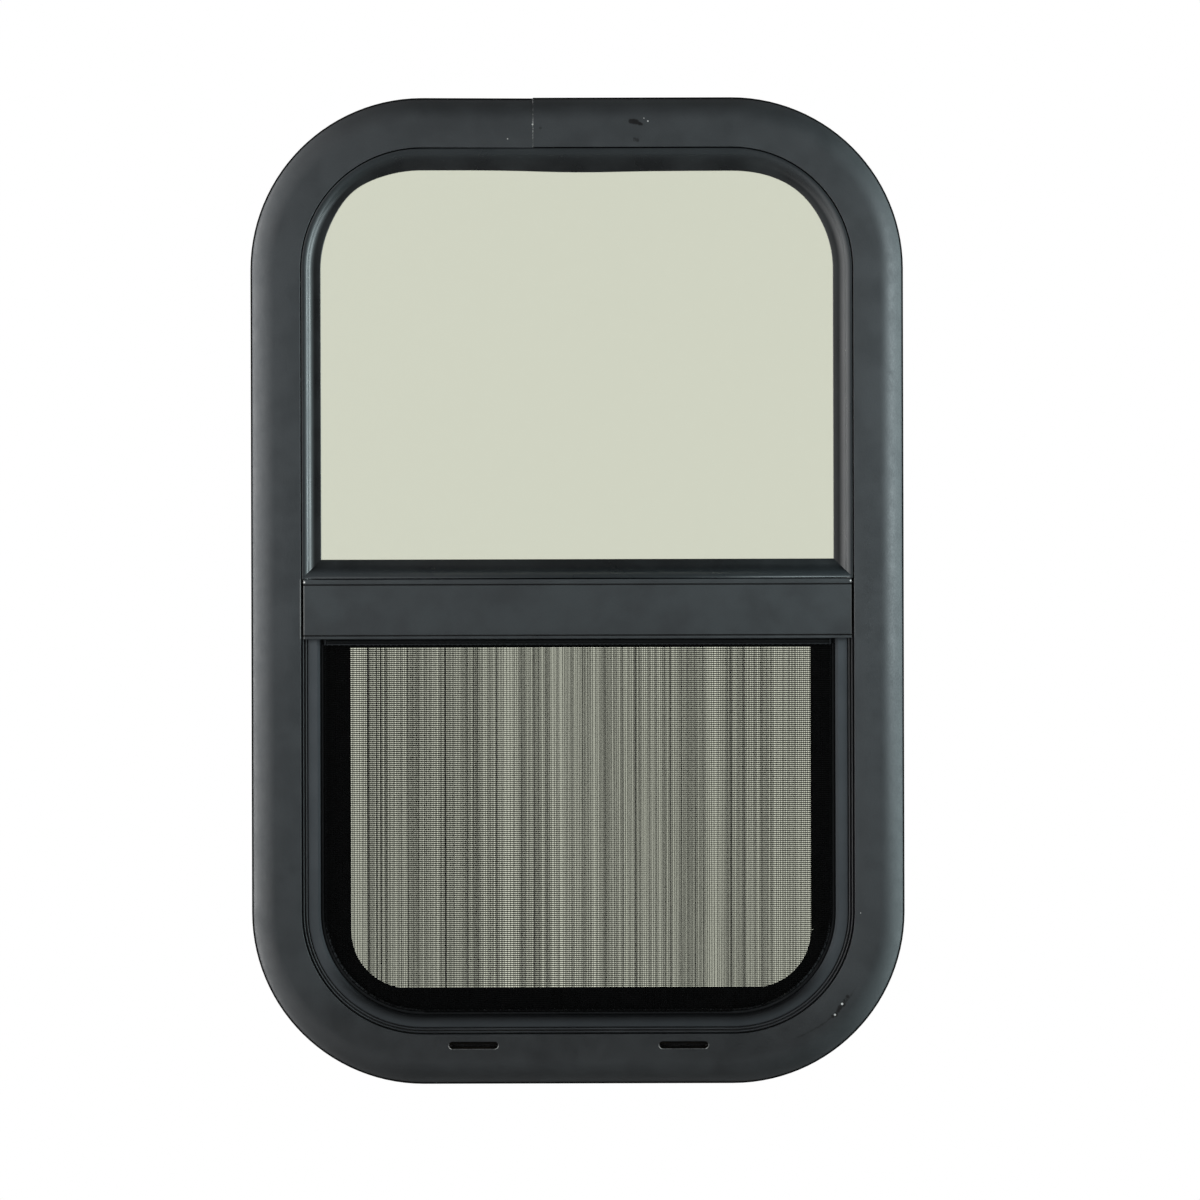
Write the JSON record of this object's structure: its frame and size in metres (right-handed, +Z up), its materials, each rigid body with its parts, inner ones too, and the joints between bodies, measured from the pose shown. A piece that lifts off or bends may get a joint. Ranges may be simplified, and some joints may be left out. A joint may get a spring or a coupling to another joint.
{
  "type": "caravan window",
  "caption": "Black framed caravan window with round corners, fixed upper pane, insect screen and sliding lower pane.",
  "frame": {"origin": "middle of the bottom run of the flange's flat wall face", "axes": "+Z up along the window's height, +Y through the wall from outside to inside, +X to the right seen from outside"},
  "size_m": [0.3978, 0.0428, 0.6011],
  "materials": {
    "frame_black": "satin black powder coat on bent aluminium extrusion",
    "rail_black": "satin black powder coat on straight extrusion",
    "screen_black": "satin black paint on rolled aluminium",
    "ring_black": "satin black powder coat",
    "seal_rubber": "semi-matt black EPDM rubber",
    "foam": "closed-cell foam tape",
    "brush": "short woven brush",
    "run_flock": "black rubber with flocked inside",
    "tinted_glass": "clear tempered glass with a faint green-grey tint",
    "mesh_weave": "woven coated fibre insect mesh, charcoal",
    "moulded_plastic": "moulded black plastic, fine texture",
    "mill_aluminium": "mill finish",
    "bolt_steel": "zinc-plated steel"
  },
  "bodies": {
    "root": {"outer_frame": "frame_black", "frame_splice": "mill_aluminium", "upper_glass": "tinted_glass", "upper_glass_tape": "foam", "upper_seal": "seal_rubber", "upper_seal_bottom": "seal_rubber", "meeting_rail": "rail_black", "rail_pile": "brush", "screen_gasket": "seal_rubber", "screen_frame": "screen_black", "screen_top_bar": "screen_black", "screen_spline": "seal_rubber", "screen_mesh": "mesh_weave", "weep_baffles": "moulded_plastic", "sash_glass": "tinted_glass", "sash_top_rail": "rail_black", "sash_pull_rail": "moulded_plastic", "sash_latches": "moulded_plastic", "latch_buttons": "moulded_plastic", "latch_bolts": "bolt_steel", "catch_strips": "moulded_plastic", "run_channels": "run_flock", "bottom_seal": "run_flock", "clamp_ring": "ring_black", "clamp_ring_splice": "mill_aluminium"}
  },
  "joints": []
}
